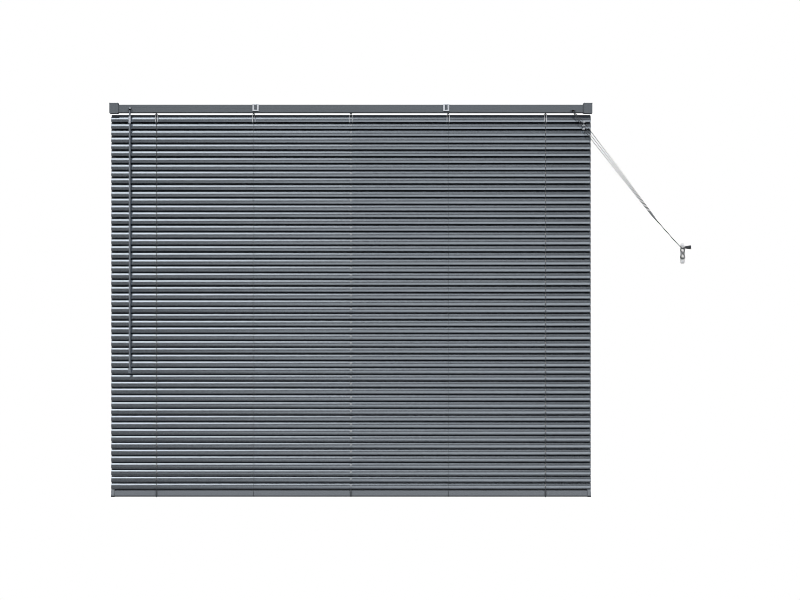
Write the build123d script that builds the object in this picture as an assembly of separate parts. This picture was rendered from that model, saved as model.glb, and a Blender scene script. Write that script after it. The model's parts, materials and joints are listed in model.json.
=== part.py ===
from build123d import *

import math
import os

# Aluminium venetian blind with 25 mm slats, shown lowered and closed. Millimetres, +Z up.
# The origin lies on the wall plane, midway between the end brackets and level with
# the middle of their wall screws. +X runs right along the blind and -Y faces the room.

# Whole blind
blind_width = 1600.0
slat_count = 55
slat_pitch = 22.55
ladder_count = 5
ladder_end_inset = 155.0
overrun = 1.0
touch_clearance = 0.3
small_round_sides = 8
fine_round_sides = 16

# End brackets and their gates
bracket_width = 28.0
bracket_height = 35.4
bracket_wall = 2.0
bracket_corner_radius = 2.0
screw_hole_radius = 2.25
screw_head_room = 2.5
gate_room = 0.4
gate_thickness = 1.6
gate_corner_radius = 2.5
gate_pivot_inset = 1.6
gate_pin_clearance = 0.3
ear_drop = 4.5
ear_forward = 2.6

# Head rail
rail_height = 27.0
rail_depth = 25.0
rail_sheet = 0.7
rail_corner_radius = 2.5
rail_lip = 3.2
rail_end_room = 0.4
plug_flange = 1.2
plug_length = 12.0
plug_height = 18.0
insert_fit = 0.2
insert_chamfer = 2.0

# Centre supports
support_ladder_gap = 6.5
support_width = 20.0
support_strip = 1.5
support_front_leg = 23.0
support_back_leg = 25.0
support_slot_width = 6.0
support_slot_rise = 4.5
support_slot_reach = 4.0
support_screw_drop = 12.8

# Tilt rod, drums and cradles
rod_height = 15.0
rod_side = 5.0
rod_fit = 0.1
rod_end_reach = 20.0
drum_radius = 6.6
drum_sides = 12
drum_length = 30.0
cradle_length = 26.0
cradle_end_wall = 2.0
cradle_side_wall = 2.8
ladder_window_length = 12.0
ladder_window_width = 17.0
cord_window_width = 6.0
cord_window_height = 7.0

# Tilter and wand
tilter_inset = 68.0
tilter_length = 18.0
tilter_height = 23.0
wheel_teeth = 12
wheel_root_radius = 4.8
wheel_tip_radius = 6.3
wheel_width = 6.0
wheel_room = 0.6
wheel_tooth_root_share = 0.62
wheel_tooth_tip_share = 0.3
worm_angle = 60.0
worm_radius = 2.6
worm_length = 10.0
worm_stem_radius = 1.1
worm_bore_clearance = 0.5
snout_wall = 1.2
snout_start = 3.0
snout_end = 12.0
knob_reach = 17.0
knob_radius = 1.9
knob_length = 2.6
cup_bore_radius = 2.6
cup_wall = 1.0
cup_rim_rise = 1.0
cup_depth = 2.8
stem_radius = 1.3
stem_length = 19.3
sleeve_radius = 4.9
sleeve_length = 23.0
sleeve_stem_grip = 5.0
sleeve_rod_grip = 7.0
wand_corner_radius = 3.8
wand_sides = 6
wand_length = 822.0
tip_length = 18.0
tip_grip = 6.0
tip_edge_chamfer = 2.0

# Cord lock
lock_inset = 65.0
lock_length = 26.0
lock_height = 16.0
lock_snout_width = 13.0
lock_snout_height = 8.6
lock_snout_reach = 2.0
lock_window_room = 0.3
lock_passage_height = 7.0
lock_floor = 0.5
lock_entry_width = 4.0
lock_roller_radius = 2.0
lock_roller_travel = 3.0
lock_roller_setback = 2.5

# Cords and ladders
cord_radius = 0.9
cord_sides = 4
run_share = 0.45
lift_cord_rest = 1.6
lift_cord_step = 2.0
lift_cord_turn_radius = 3.0
lock_turn_radius = 5.0
ladder_string = 0.9
ladder_clearance = 0.4
ladder_spread_drop = 1.0

# Slats
slat_width = 25.0
slat_end_room = 6.5
slat_crown = 1.8
slat_facet_shares = (-1, -0.48, 0.48, 1)
slat_thickness = 0.25
slat_angle = 72.0
first_slat_drop = 17.8
route_hole_width = 3.8
route_hole_length = 10.4

# Bottom rail
bottom_rail_drop = 25.4
bottom_rail_width = 24.5
bottom_rail_height = 9.0
bottom_rail_sheet = 0.8
cap_wall = 1.0
cap_length = 11.0
cap_end = 1.6
plug_width = 6.0
plug_reach = 12.0
plug_head = 2.5

# Pull cords, connector, figure of eight, tassel and cleat
stop_radius = 4.2
stop_length = 6.5
stop_bore_clearance = 0.4
lock_mouth_run = 6.0
connector_length = 34.0
connector_mouth_radius = 4.8
connector_tail_radius = 2.4
connector_mouth_spread = 2.6
pull_cord_radius = 1.1
cleat_x = 1102.0
cleat_z = -481.4
cleat_plate_length = 70.0
cleat_plate_width = 15.0
cleat_plate_thickness = 3.0
cleat_post_spacing = 18.9
cleat_post_radius = 3.6
cleat_post_length = 13.0
cleat_screw_spacing = 54.0
cleat_hole_side = 3.6
cleat_shank_side = 3.2
cleat_screw_head_radius = 3.2
cleat_screw_head_height = 1.6
eight_outer_radius = 9.6
eight_depth = 10.6
tassel_length = 19.0
tassel_neck_radius = 3.0
tassel_mouth_radius = 6.3
tassel_wall = 1.2
tassel_shoulder_share = 0.3
tassel_shoulder_radius_share = 0.8

# Levels and lines that several pieces share
tilter_x = tilter_inset - blind_width / 2
lock_x = blind_width / 2 - lock_inset
slat_length = blind_width - 2 * slat_end_room
ladder_spacing = (blind_width - 2 * ladder_end_inset) / (ladder_count - 1)
support_offset = ladder_spacing - support_ladder_gap
rail_y = -(bracket_wall + screw_head_room + rail_depth / 2)
rail_front = rail_y - rail_depth / 2
rail_bottom = bracket_wall - bracket_height / 2
rail_top = rail_bottom + rail_height
rail_floor = rail_bottom + rail_sheet
rail_inner_width = rail_depth - 2 * rail_sheet
rail_half = blind_width / 2 - bracket_wall - rail_end_room - plug_flange
insert_width = rail_inner_width - 2 * insert_fit
bracket_rim = rail_front - gate_room
gate_back = bracket_rim - touch_clearance
bracket_x = blind_width / 2 - bracket_width / 2
rod_z = rail_floor + rod_height
slat_cos = math.cos(math.radians(slat_angle))
slat_sin = math.sin(math.radians(slat_angle))
first_slat_z = rail_bottom - first_slat_drop
bottom_rail_z = first_slat_z - slat_pitch * (slat_count - 1) - bottom_rail_drop
bottom_rail_end = bottom_rail_width / 2 - bottom_rail_height / 2
bottom_rail_top = bottom_rail_z + bottom_rail_end * slat_sin + bottom_rail_height / 2
string_end_z = bottom_rail_top + ladder_clearance
ladder_places = [(i - (ladder_count - 1) / 2) * ladder_spacing for i in range(ladder_count)]
lift_places = ladder_places[::2]
lift_heights = [rail_floor + lift_cord_rest + lift_cord_step * (len(lift_places) - 1 - i)
                for i in range(len(lift_places))]
lock_mouth = rail_front - lock_snout_reach
roller_x = lock_x + cord_radius + touch_clearance + lock_roller_radius
wheel_centre = Vector(tilter_x, rail_y, rod_z)
worm_cos = math.cos(math.radians(worm_angle))
worm_sin = math.sin(math.radians(worm_angle))
worm_direction = Vector(0, -worm_cos, -worm_sin)
worm_offset = wheel_tip_radius + touch_clearance + worm_radius
worm_origin = wheel_centre + Vector(0, -worm_sin, worm_cos) * worm_offset
worm_plane = Plane(origin=worm_origin, x_dir=(1, 0, 0), z_dir=worm_direction)
knob_centre = worm_origin + worm_direction * knob_reach
stem_end = knob_centre.Z - cup_depth - cup_wall - stem_length
sleeve_top = stem_end + sleeve_stem_grip - touch_clearance
sleeve_bottom = sleeve_top - sleeve_length
wand_top = sleeve_bottom + sleeve_rod_grip
wand_bottom = wand_top - wand_length

# Routes of the free cords, chosen by hand
stop_points = [(771.0, -36.0, -46.7), (769.4, -36.0, -58.0), (768.8, -36.0, -70.0)]
connector_mouth = Vector(992.0, -19.0, -343.8)
connector_tail_aim = Vector(1015.6, -17.0, -373.6)
connector_axis = (connector_tail_aim - connector_mouth).normalized()
connector_tail = connector_mouth + connector_axis * connector_length
winding_y = -cleat_plate_thickness - touch_clearance - eight_depth / 2
winding_top = cleat_z + cleat_post_spacing / 2 + eight_outer_radius
tassel_z = winding_top + pull_cord_radius + touch_clearance
tassel_start = cleat_x + eight_outer_radius * tassel_shoulder_radius_share
pull_points = [
    tuple(connector_tail + connector_axis * touch_clearance),
    (1095.5, winding_y, tassel_z),
    (tassel_start, winding_y, tassel_z),
]


def block(x0, x1, y0, y1, z0, z1):
    """A box between two corners."""
    return Pos((x0 + x1) / 2, (y0 + y1) / 2, (z0 + z1) / 2) * Box(x1 - x0, y1 - y0, z1 - z0)


def rod_x(radius, x0, x1, y, z):
    """A round bar along X."""
    return Pos((x0 + x1) / 2, y, z) * Rot(0, 90, 0) * Cylinder(radius, x1 - x0)


def rod_y(radius, y0, y1, x, z):
    """A round bar along Y."""
    return Pos(x, (y0 + y1) / 2, z) * Rot(90, 0, 0) * Cylinder(radius, y1 - y0)


def disc_stack(plane, steps):
    """Round steps along a plane's normal, each a radius with its start and end."""
    solid = None
    for radius, start, end in steps:
        step = plane * Pos(0, 0, (start + end) / 2) * Cylinder(radius, end - start)
        solid = step if solid is None else solid + step
    return solid


def cord_tube(path, radius):
    """A cord along a path of straight runs and tangent arcs, with a plain faceted section."""
    section = Plane(origin=path @ 0, z_dir=path % 0) * RegularPolygon(radius, cord_sides)
    return sweep(section, path=path)


def tapered(start_radius, end_radius, length, sides):
    """A straight-sided taper along +Z from one polygon to a like one."""
    lean = math.atan((start_radius - end_radius) * math.cos(math.pi / sides) / length)
    return extrude(RegularPolygon(start_radius, sides), length, taper=math.degrees(lean))


def turn_radii(points):
    """The largest arc that each corner's two runs leave room for."""
    radii = []
    for before, corner, after in zip(points, points[1:], points[2:]):
        first = Vector(*corner) - Vector(*before)
        second = Vector(*after) - Vector(*corner)
        shorter = min(first.length, second.length)
        half_turn = math.radians(first.get_angle(second)) / 2
        radii.append(run_share * shorter / math.tan(half_turn))
    print("cord turn radii", [round(r, 1) for r in radii])
    return radii


def both_sides(solid):
    """The right-hand piece and its mirror image on the left."""
    return solid, mirror(solid, about=Plane.YZ)


# End bracket: a box that is open to the room and to the rail, with ears for the gate's pins
def box_bracket():
    half = bracket_height / 2
    outer_x = blind_width / 2
    inner_x = outer_x - bracket_width
    body = block(inner_x, outer_x, bracket_rim, 0, -half, half)
    body = fillet(body.edges().filter_by(Axis.Y).group_by(Axis.X)[-1], bracket_corner_radius)
    body -= block(inner_x - overrun, outer_x - bracket_wall, bracket_rim - overrun, -bracket_wall,
                  rail_bottom, half - bracket_wall)
    ear_front = bracket_rim - ear_forward
    for ear_x in (inner_x, outer_x - bracket_wall):
        body += block(ear_x, ear_x + bracket_wall, ear_front, bracket_rim, half - ear_drop, half)
    pin_y = gate_back - gate_thickness / 2
    pin_z = half - gate_pivot_inset
    pin_room = gate_thickness / 2 + gate_pin_clearance
    body -= block(inner_x - overrun, outer_x + overrun, pin_y - pin_room, pin_y + pin_room,
                  pin_z - pin_room, pin_z + pin_room)
    body -= rod_y(screw_hole_radius, -bracket_wall - overrun, overrun, bracket_x, 0)
    hole = Cylinder(screw_hole_radius, bracket_wall + 2 * overrun)
    return body - Pos(bracket_x, rail_y, half - bracket_wall / 2) * hole


# Bracket gate: a plate that hangs from a pin along its top edge and swings up and out
def bracket_gate():
    half = bracket_height / 2
    outer_x = blind_width / 2
    inner_x = outer_x - bracket_width
    pivot_z = half - gate_pivot_inset
    neck_z = half - ear_drop - gate_pivot_inset / 2
    neck_inset = bracket_wall + touch_clearance
    front = gate_back - gate_thickness
    plate = block(inner_x, outer_x, front, gate_back, -half, neck_z)
    plate = fillet(plate.edges().filter_by(Axis.Y).group_by(Axis.Z)[0], gate_corner_radius)
    neck = block(inner_x + neck_inset, outer_x - neck_inset, front, gate_back, neck_z, pivot_z)
    pin = rod_x(gate_thickness / 2, inner_x, outer_x, gate_back - gate_thickness / 2, pivot_z)
    return plate + neck + pin


# Head rail: a lipped channel with a window under each drum and openings for tilter and lock
def head_rail():
    outer = Pos(rail_y, rail_bottom + rail_height / 2) * Rectangle(rail_depth, rail_height)
    outer = fillet(outer.vertices().group_by(Axis.Y)[0], rail_corner_radius)
    inner_height = rail_height - 2 * rail_sheet
    inner = Pos(rail_y, rail_floor + inner_height / 2) * Rectangle(rail_inner_width, inner_height)
    inner = fillet(inner.vertices().group_by(Axis.Y)[0], rail_corner_radius - rail_sheet)
    mouth = Pos(rail_y, rail_top) * Rectangle(rail_depth - 2 * rail_lip, 2 * rail_sheet + overrun)
    rail = extrude(Plane.YZ * (outer - inner - mouth), rail_half, both=True)
    window = Box(ladder_window_length, ladder_window_width, 2 * rail_sheet + overrun)
    for x in ladder_places:
        rail -= Pos(x, rail_y, rail_bottom) * window
    snout_hole = worm_radius + worm_bore_clearance + snout_wall + touch_clearance
    rail -= disc_stack(worm_plane, [(snout_hole, snout_start, snout_end + overrun)])
    half_window = lock_snout_width / 2 + lock_window_room
    snout_top = rail_floor + lock_snout_height + lock_window_room
    rail -= block(lock_x - half_window, lock_x + half_window, rail_front - overrun,
                  rail_front + rail_corner_radius, rail_floor, snout_top)
    return rail


def rail_insert(x0, x1, height):
    """A block that fits inside the channel and clears its rounded lower corners."""
    half = insert_width / 2
    body = block(x0, x1, rail_y - half, rail_y + half, rail_floor, rail_floor + height)
    return chamfer(body.edges().filter_by(Axis.X).group_by(Axis.Z)[0], insert_chamfer)


# Rail end plug: a block in the channel's end with a flange over its edge
def rail_plug():
    flange = block(rail_half, rail_half + plug_flange, rail_front, rail_front + rail_depth,
                   rail_bottom, rail_top)
    return rail_insert(rail_half - plug_length, rail_half, plug_height) + flange


# Centre support: a bent strip from the wall, over the rail and down its front, with a slot
def centre_support():
    half = support_width / 2
    top = rail_top + support_strip
    leg_front = rail_front - support_strip
    strip = block(support_offset - half, support_offset + half, leg_front, 0, rail_top, top)
    strip += block(support_offset - half, support_offset + half, leg_front, rail_front,
                   top - support_front_leg, rail_top)
    strip += block(support_offset - half, support_offset + half, -support_strip, 0,
                   top - support_back_leg, rail_top)
    slot_half = support_slot_width / 2
    strip -= block(support_offset - slot_half, support_offset + slot_half, leg_front - overrun,
                   rail_front + support_slot_reach, top - support_front_leg + support_slot_rise,
                   top + overrun)
    strip -= rod_y(screw_hole_radius, -support_strip - overrun, overrun, support_offset,
                   top - support_screw_drop)
    return strip


# Tilt rod: a square bar through the tilter and all the drums
def tilt_rod():
    left = tilter_x - tilter_length / 2 - rod_end_reach
    right = ladder_places[-1] + rod_end_reach
    half = rod_side / 2
    return block(left, right, rail_y - half, rail_y + half, rod_z - half, rod_z + half)


# Ladder drum: a barrel on the rod that winds one ladder string while it pays out the other
def ladder_drum(x):
    bore = rod_side + 2 * rod_fit
    section = RegularPolygon(drum_radius, drum_sides) - Rectangle(bore, bore)
    plane = Plane(origin=(x, rail_y, rod_z), x_dir=(0, 1, 0), z_dir=(1, 0, 0))
    return extrude(plane * section, drum_length / 2, both=True)


# Ladder cradle: a frame on the rail's floor with a notch at each end that its drum turns in
def ladder_cradle(x):
    half = cradle_length / 2
    body = rail_insert(x - half, x + half, rod_height)
    inside_x = half - cradle_end_wall
    inside_y = insert_width / 2 - cradle_side_wall
    body -= block(x - inside_x, x + inside_x, rail_y - inside_y, rail_y + inside_y,
                  rail_floor - overrun, rod_z + overrun)
    notch = drum_radius + touch_clearance
    body -= block(x - half - overrun, x + half + overrun, rail_y - notch, rail_y + notch,
                  rod_z - notch, rod_z + overrun)
    return body - block(x - half - overrun, x + half + overrun, rail_y - cord_window_width / 2,
                        rail_y + cord_window_width / 2, rail_floor - overrun,
                        rail_floor + cord_window_height)


# Tilter housing: a gear case in the rail with a snout through the rail's front
def tilter_housing():
    half = tilter_length / 2
    body = rail_insert(tilter_x - half, tilter_x + half, tilter_height)
    bore = worm_radius + worm_bore_clearance
    snout = RegularPolygon(bore + snout_wall, fine_round_sides)
    body += extrude(worm_plane.offset(snout_start) * snout, snout_end - snout_start)
    chamber_half = wheel_width / 2 + wheel_room
    chamber = wheel_tip_radius + wheel_room
    body -= block(tilter_x - chamber_half, tilter_x + chamber_half, rail_y - chamber, rail_y + chamber,
                  rod_z - chamber, rod_z + chamber)
    rod_room = rod_side / 2 * math.sqrt(2) + touch_clearance
    body -= block(tilter_x - half - overrun, tilter_x + half + overrun, rail_y - rod_room,
                  rail_y + rod_room, rod_z - rod_room, rod_z + rod_room)
    passage = RegularPolygon(bore, fine_round_sides)
    return body - extrude(worm_plane.offset(-worm_length) * passage, worm_length + snout_end + overrun)


# Tilter wheel: straight teeth on a hub with a square bore
def tilter_wheel():
    points = []
    pitch_angle = 2 * math.pi / wheel_teeth
    for tooth in range(wheel_teeth):
        middle = (tooth + 1 / 2) * pitch_angle
        for radius, share, side in (
            (wheel_root_radius, wheel_tooth_root_share, -1),
            (wheel_tip_radius, wheel_tooth_tip_share, -1),
            (wheel_tip_radius, wheel_tooth_tip_share, 1),
            (wheel_root_radius, wheel_tooth_root_share, 1),
        ):
            angle = middle + side * share * pitch_angle / 2
            points.append((radius * math.cos(angle), radius * math.sin(angle)))
    bore = rod_side + 2 * rod_fit
    section = make_face(Polyline(*points, close=True)) - Rectangle(bore, bore)
    plane = Plane(origin=wheel_centre, x_dir=(0, 1, 0), z_dir=(1, 0, 0))
    return extrude(plane * section, wheel_width / 2, both=True)


# Tilter worm: the worm's barrel, its stem out of the snout, and the knob that the wand hangs on
def tilter_worm():
    barrel = disc_stack(worm_plane, [(worm_radius, -worm_length / 2, worm_length / 2)])
    stem = RegularPolygon(worm_stem_radius, small_round_sides)
    stem = extrude(worm_plane.offset(worm_length / 2) * stem, knob_reach - worm_length / 2)
    knob = RegularPolygon(knob_radius, fine_round_sides)
    knob = extrude(worm_plane.offset(knob_reach) * knob, knob_length / 2, both=True)
    return barrel + stem + knob


# Wand connector: a cup round the knob, on a stem that the wand turns about
def wand_connector():
    plane = Plane(origin=knob_centre)
    outer = cup_bore_radius + cup_wall
    floor = -cup_depth - cup_wall
    cup = disc_stack(plane, [(outer, floor, cup_rim_rise)])
    bore = RegularPolygon(cup_bore_radius, fine_round_sides)
    cup -= extrude(plane.offset(-cup_depth) * bore, cup_depth + cup_rim_rise + overrun)
    stem = RegularPolygon(stem_radius, small_round_sides)
    return cup + extrude(plane.offset(floor - stem_length) * stem, stem_length)


# Wand sleeve: a collar with a round bore for the stem and a hexagonal one for the rod
def wand_sleeve():
    plane = Plane(origin=(knob_centre.X, knob_centre.Y, 0))
    body = disc_stack(plane, [(sleeve_radius, sleeve_bottom, sleeve_top)])
    stem_socket = RegularPolygon(stem_radius + 2 * touch_clearance, small_round_sides)
    body -= extrude(plane.offset(sleeve_top - sleeve_stem_grip) * stem_socket, sleeve_stem_grip + overrun)
    socket = RegularPolygon(wand_corner_radius + insert_fit, wand_sides)
    socket_plane = plane.offset(sleeve_bottom - overrun)
    return body - extrude(socket_plane * socket, sleeve_rod_grip + overrun)


# Wand rod: a hexagonal bar
def wand_rod():
    plane = Plane(origin=(knob_centre.X, knob_centre.Y, wand_bottom))
    return extrude(plane * RegularPolygon(wand_corner_radius, wand_sides), wand_length)


# Wand tip: a rounded cap pushed over the rod's lower end
def wand_tip():
    plane = Plane(origin=(knob_centre.X, knob_centre.Y, wand_bottom + tip_grip))
    body = extrude(RegularPolygon(sleeve_radius, fine_round_sides), -tip_length)
    body = chamfer(body.edges().group_by(Axis.Z)[0], tip_edge_chamfer)
    socket = RegularPolygon(wand_corner_radius + insert_fit, wand_sides)
    pocket = extrude(Plane.XY.offset(-tip_grip) * socket, tip_grip + overrun)
    return plane * (body - pocket)


# Cord lock housing: a block in the rail with a snout, and one passage for cords and roller
def lock_housing():
    half = lock_length / 2
    snout_half = lock_snout_width / 2
    body = rail_insert(lock_x - half, lock_x + half, lock_height)
    body += block(lock_x - snout_half, lock_x + snout_half, lock_mouth, rail_y,
                  rail_floor, rail_floor + lock_snout_height)
    low = rail_floor + lock_floor
    high = low + lock_passage_height
    entry = lock_entry_width / 2
    body -= block(lock_x - half - overrun, lock_x, rail_y - entry, rail_y + entry, low, high)
    left = lock_x - entry
    right = roller_x + lock_roller_radius + touch_clearance
    return body - block(left, right, lock_mouth - overrun, rail_y + entry, low, high)


# Cord lock roller: a brass pin that jams the cords when it is drawn forward
def lock_roller():
    low = rail_floor + lock_floor + touch_clearance
    high = rail_floor + lock_floor + lock_passage_height - touch_clearance
    place = lock_mouth + lock_roller_setback + lock_roller_travel + lock_roller_radius
    return Pos(roller_x, place, (low + high) / 2) * Cylinder(lock_roller_radius, high - low)


# Slat: a strip with flats along its crown, tilted front edge down, with a route hole for each lift cord
def slat(index):
    places = [share * slat_width / 2 for share in slat_facet_shares]
    upper = [(u, -slat_crown * (2 * u / slat_width) ** 2) for u in places]
    lower = [(u, v - slat_thickness) for u, v in reversed(upper)]
    section = make_face(Polyline(*upper, *lower, close=True))
    plane = Plane(origin=(0, rail_y, first_slat_z - slat_pitch * index),
                  x_dir=(0, -slat_cos, -slat_sin), z_dir=(-1, 0, 0))
    strip = extrude(section, slat_length / 2, both=True)
    for x in lift_places:
        strip -= Pos(0, 0, x) * Box(route_hole_length, 2 * slat_crown, route_hole_width)
    return plane * strip


def all_slats():
    return Compound(children=[slat(i) for i in range(slat_count)])


# Ladder: the front and back strings of one ladder, from its drum to the bottom rail
def ladder(x):
    half = ladder_string / 2
    spread = drum_radius + touch_clearance + half
    edge_drop = slat_width / 2 * slat_cos
    crown_back = slat_crown * slat_sin
    edge_rise = slat_width / 2 * slat_sin - slat_crown * slat_cos
    strings = []
    for side, near, meet_z in (
        (-1, edge_drop - crown_back, first_slat_z),
        (1, edge_drop + crown_back, first_slat_z + edge_rise),
    ):
        wide = rail_y + side * spread
        close = rail_y + side * (near + ladder_clearance + half)
        outline = Polyline(
            (wide - half, rod_z), (wide - half, rail_bottom - ladder_spread_drop), (close - half, meet_z),
            (close - half, string_end_z), (close + half, string_end_z), (close + half, meet_z),
            (wide + half, rail_bottom - ladder_spread_drop), (wide + half, rod_z), close=True)
        strings.append(Pos(x, 0, 0) * extrude(Plane.YZ * make_face(outline), half, both=True))
    return Compound(children=strings)


# Lift cord: up through the slats, along the rail's floor and out through the lock
def lift_cord(x, height):
    points = [(x, rail_y, string_end_z), (x, rail_y, height), (lock_x, rail_y, height),
              (lock_x, lock_mouth, height)]
    path = FilletPolyline(*points, radius=[lift_cord_turn_radius, lock_turn_radius])
    return cord_tube(path, cord_radius)


bottom_plane = Plane(origin=(0, rail_y, bottom_rail_z), x_dir=(0, -slat_cos, -slat_sin), z_dir=(-1, 0, 0))


# Bottom rail: an oval tube, tilted like the slats
def bottom_rail():
    sheets = 2 * bottom_rail_sheet
    section = SlotOverall(bottom_rail_width, bottom_rail_height)
    section -= SlotOverall(bottom_rail_width - sheets, bottom_rail_height - sheets)
    return extrude(bottom_plane * section, slat_length / 2 - cap_end, both=True)


# Bottom rail end cap: a sleeve over the tube's end
def bottom_cap():
    grip = cap_wall + insert_fit
    end = slat_length / 2
    outer = SlotOverall(bottom_rail_width + 2 * grip, bottom_rail_height + 2 * grip)
    pocket = SlotOverall(bottom_rail_width + 2 * insert_fit, bottom_rail_height + 2 * insert_fit)
    body = extrude(Pos(0, 0, -end) * outer, cap_length)
    pocket_start = cap_end - end
    return bottom_plane * (body - extrude(Pos(0, 0, pocket_start) * pocket, cap_length))


# Ladder plugs: buttons under the bottom rail that hold the ladder ends
def ladder_plugs():
    seat = -bottom_rail_height / 2 - plug_head / 2
    button = Box(plug_width, plug_head, plug_reach)
    return Compound(children=[bottom_plane * Pos(0, seat, x) * button for x in ladder_places])


# Pull cord strand: from the lock's mouth past its stop to the connector
def strand_points(index):
    height = lift_heights[index]
    sideways = Vector(0, 1, 0).cross(connector_axis)
    place = connector_mouth + sideways * ((index - 1) * connector_mouth_spread)
    place -= connector_axis * touch_clearance
    return [(lock_x, lock_mouth, height), (lock_x, lock_mouth - lock_mouth_run, height),
            stop_points[index], tuple(place)]


def strand_path(index):
    points = strand_points(index)
    return FilletPolyline(*points, radius=turn_radii(points))


def pull_strand(index):
    return cord_tube(strand_path(index), cord_radius)


# Cord stop: a bead fixed on one strand below the lock
def cord_stop(index):
    path = strand_path(index)
    lock_end, corner, stop = [Vector(*point) for point in strand_points(index)[:3]]
    distance = (corner - lock_end).length + (stop - corner).length
    plane = Plane(origin=path.position_at(distance, position_mode=PositionMode.LENGTH),
                  z_dir=path.tangent_at(distance, position_mode=PositionMode.LENGTH))
    bore = RegularPolygon(cord_radius + stop_bore_clearance, cord_sides)
    bead = RegularPolygon(stop_radius, small_round_sides) - bore
    return extrude(plane * bead, stop_length / 2, both=True)


# Cord connector: a cone that joins the three strands to the single pull cord
def cord_connector():
    plane = Plane(origin=connector_mouth, z_dir=connector_axis)
    return plane * tapered(connector_mouth_radius, connector_tail_radius, connector_length, fine_round_sides)


# Pull cord: from the connector over the winding to the tassel
def pull_cord():
    path = FilletPolyline(*pull_points, radius=turn_radii(pull_points))
    return cord_tube(path, pull_cord_radius)


# Figure of eight: the outer shape of the spare cord wound on the cleat's two posts
def cord_eight():
    plane = Plane(origin=(cleat_x, winding_y, cleat_z), x_dir=(1, 0, 0), z_dir=(0, -1, 0))
    ring = RegularPolygon(eight_outer_radius, fine_round_sides)
    eye = RegularPolygon(cleat_post_radius + 2 * touch_clearance, fine_round_sides)
    top = Pos(0, cleat_post_spacing / 2)
    bottom = Pos(0, -cleat_post_spacing / 2)
    section = top * ring + bottom * ring - top * eye - bottom * eye
    return extrude(plane * section, eight_depth / 2, both=True)


# Tassel: a bell on the cord's end, lying on its side with its mouth to the right
def tassel():
    shoulder = tassel_length * tassel_shoulder_share
    shoulder_radius = tassel_mouth_radius * tassel_shoulder_radius_share
    inner_radius = tassel_mouth_radius - tassel_wall
    skirt = tassel_length - shoulder
    bell = tapered(tassel_mouth_radius, shoulder_radius, skirt, fine_round_sides)
    bell += Pos(0, 0, skirt) * tapered(shoulder_radius, tassel_neck_radius, shoulder, fine_round_sides)
    hollow = tapered(inner_radius, tassel_neck_radius, skirt, fine_round_sides)
    mouth = Plane(origin=(tassel_start + tassel_length, winding_y, tassel_z), z_dir=(-1, 0, 0))
    return mouth * (bell - hollow)


# Cord cleat: a wall plate with two posts
def cord_cleat():
    plane = Plane(origin=(cleat_x, 0, cleat_z), x_dir=(0, 0, 1), z_dir=(0, -1, 0))
    plate = extrude(SlotOverall(cleat_plate_length, cleat_plate_width), cleat_plate_thickness)
    hole = Box(cleat_hole_side, cleat_hole_side, 4 * cleat_plate_thickness)
    for screw in (-cleat_screw_spacing / 2, cleat_screw_spacing / 2):
        plate -= Pos(screw, 0, 0) * hole
    post_end = cleat_plate_thickness + cleat_post_length
    for post in (-cleat_post_spacing / 2, cleat_post_spacing / 2):
        plate += Pos(post, 0, 0) * extrude(RegularPolygon(cleat_post_radius, fine_round_sides), post_end)
    return plane * plate


# Cleat screws: round heads on the plate and plain shanks through it
def cleat_screws():
    screws = []
    for side in (-1, 1):
        plane = Plane(origin=(cleat_x, 0, cleat_z + side * cleat_screw_spacing / 2), z_dir=(0, -1, 0))
        head = RegularPolygon(cleat_screw_head_radius, fine_round_sides)
        head = extrude(plane.offset(cleat_plate_thickness) * head, cleat_screw_head_height)
        shank = plane * Pos(0, 0, cleat_plate_thickness / 2)
        screws.append(head + shank * Box(cleat_shank_side, cleat_shank_side, cleat_plate_thickness))
    return Compound(children=screws)


nodes = {
    "head_rail": head_rail(),
    "tilt_rod": tilt_rod(),
    "tilter_housing": tilter_housing(),
    "tilter_wheel": tilter_wheel(),
    "tilter_worm": tilter_worm(),
    "wand_connector": wand_connector(),
    "wand_sleeve": wand_sleeve(),
    "wand_rod": wand_rod(),
    "wand_tip": wand_tip(),
    "cord_lock_housing": lock_housing(),
    "cord_lock_roller": lock_roller(),
    "slats": all_slats(),
    "bottom_rail": bottom_rail(),
    "ladder_plugs": ladder_plugs(),
    "cord_connector": cord_connector(),
    "pull_cord": pull_cord(),
    "cord_figure_eight": cord_eight(),
    "cord_tassel": tassel(),
    "cord_cleat": cord_cleat(),
    "cleat_screws": cleat_screws(),
}
for name, maker in (
    ("box_bracket", box_bracket),
    ("bracket_gate", bracket_gate),
    ("rail_plug", rail_plug),
    ("centre_support", centre_support),
    ("bottom_rail_cap", bottom_cap),
):
    nodes[name + "_right"], nodes[name + "_left"] = both_sides(maker())
for i, x in enumerate(ladder_places, 1):
    nodes[f"ladder_drum_{i}"] = ladder_drum(x)
    nodes[f"ladder_cradle_{i}"] = ladder_cradle(x)
    nodes[f"ladder_{i}"] = ladder(x)
for i, (x, height) in enumerate(zip(lift_places, lift_heights), 1):
    nodes[f"lift_cord_{i}"] = lift_cord(x, height)
    nodes[f"pull_strand_{i}"] = pull_strand(i - 1)
    nodes[f"cord_stop_{i}"] = cord_stop(i - 1)

os.makedirs("parts", exist_ok=True)
for name, solid in nodes.items():
    export_step(solid, f"parts/{name}.step")
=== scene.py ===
import json
import math

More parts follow.
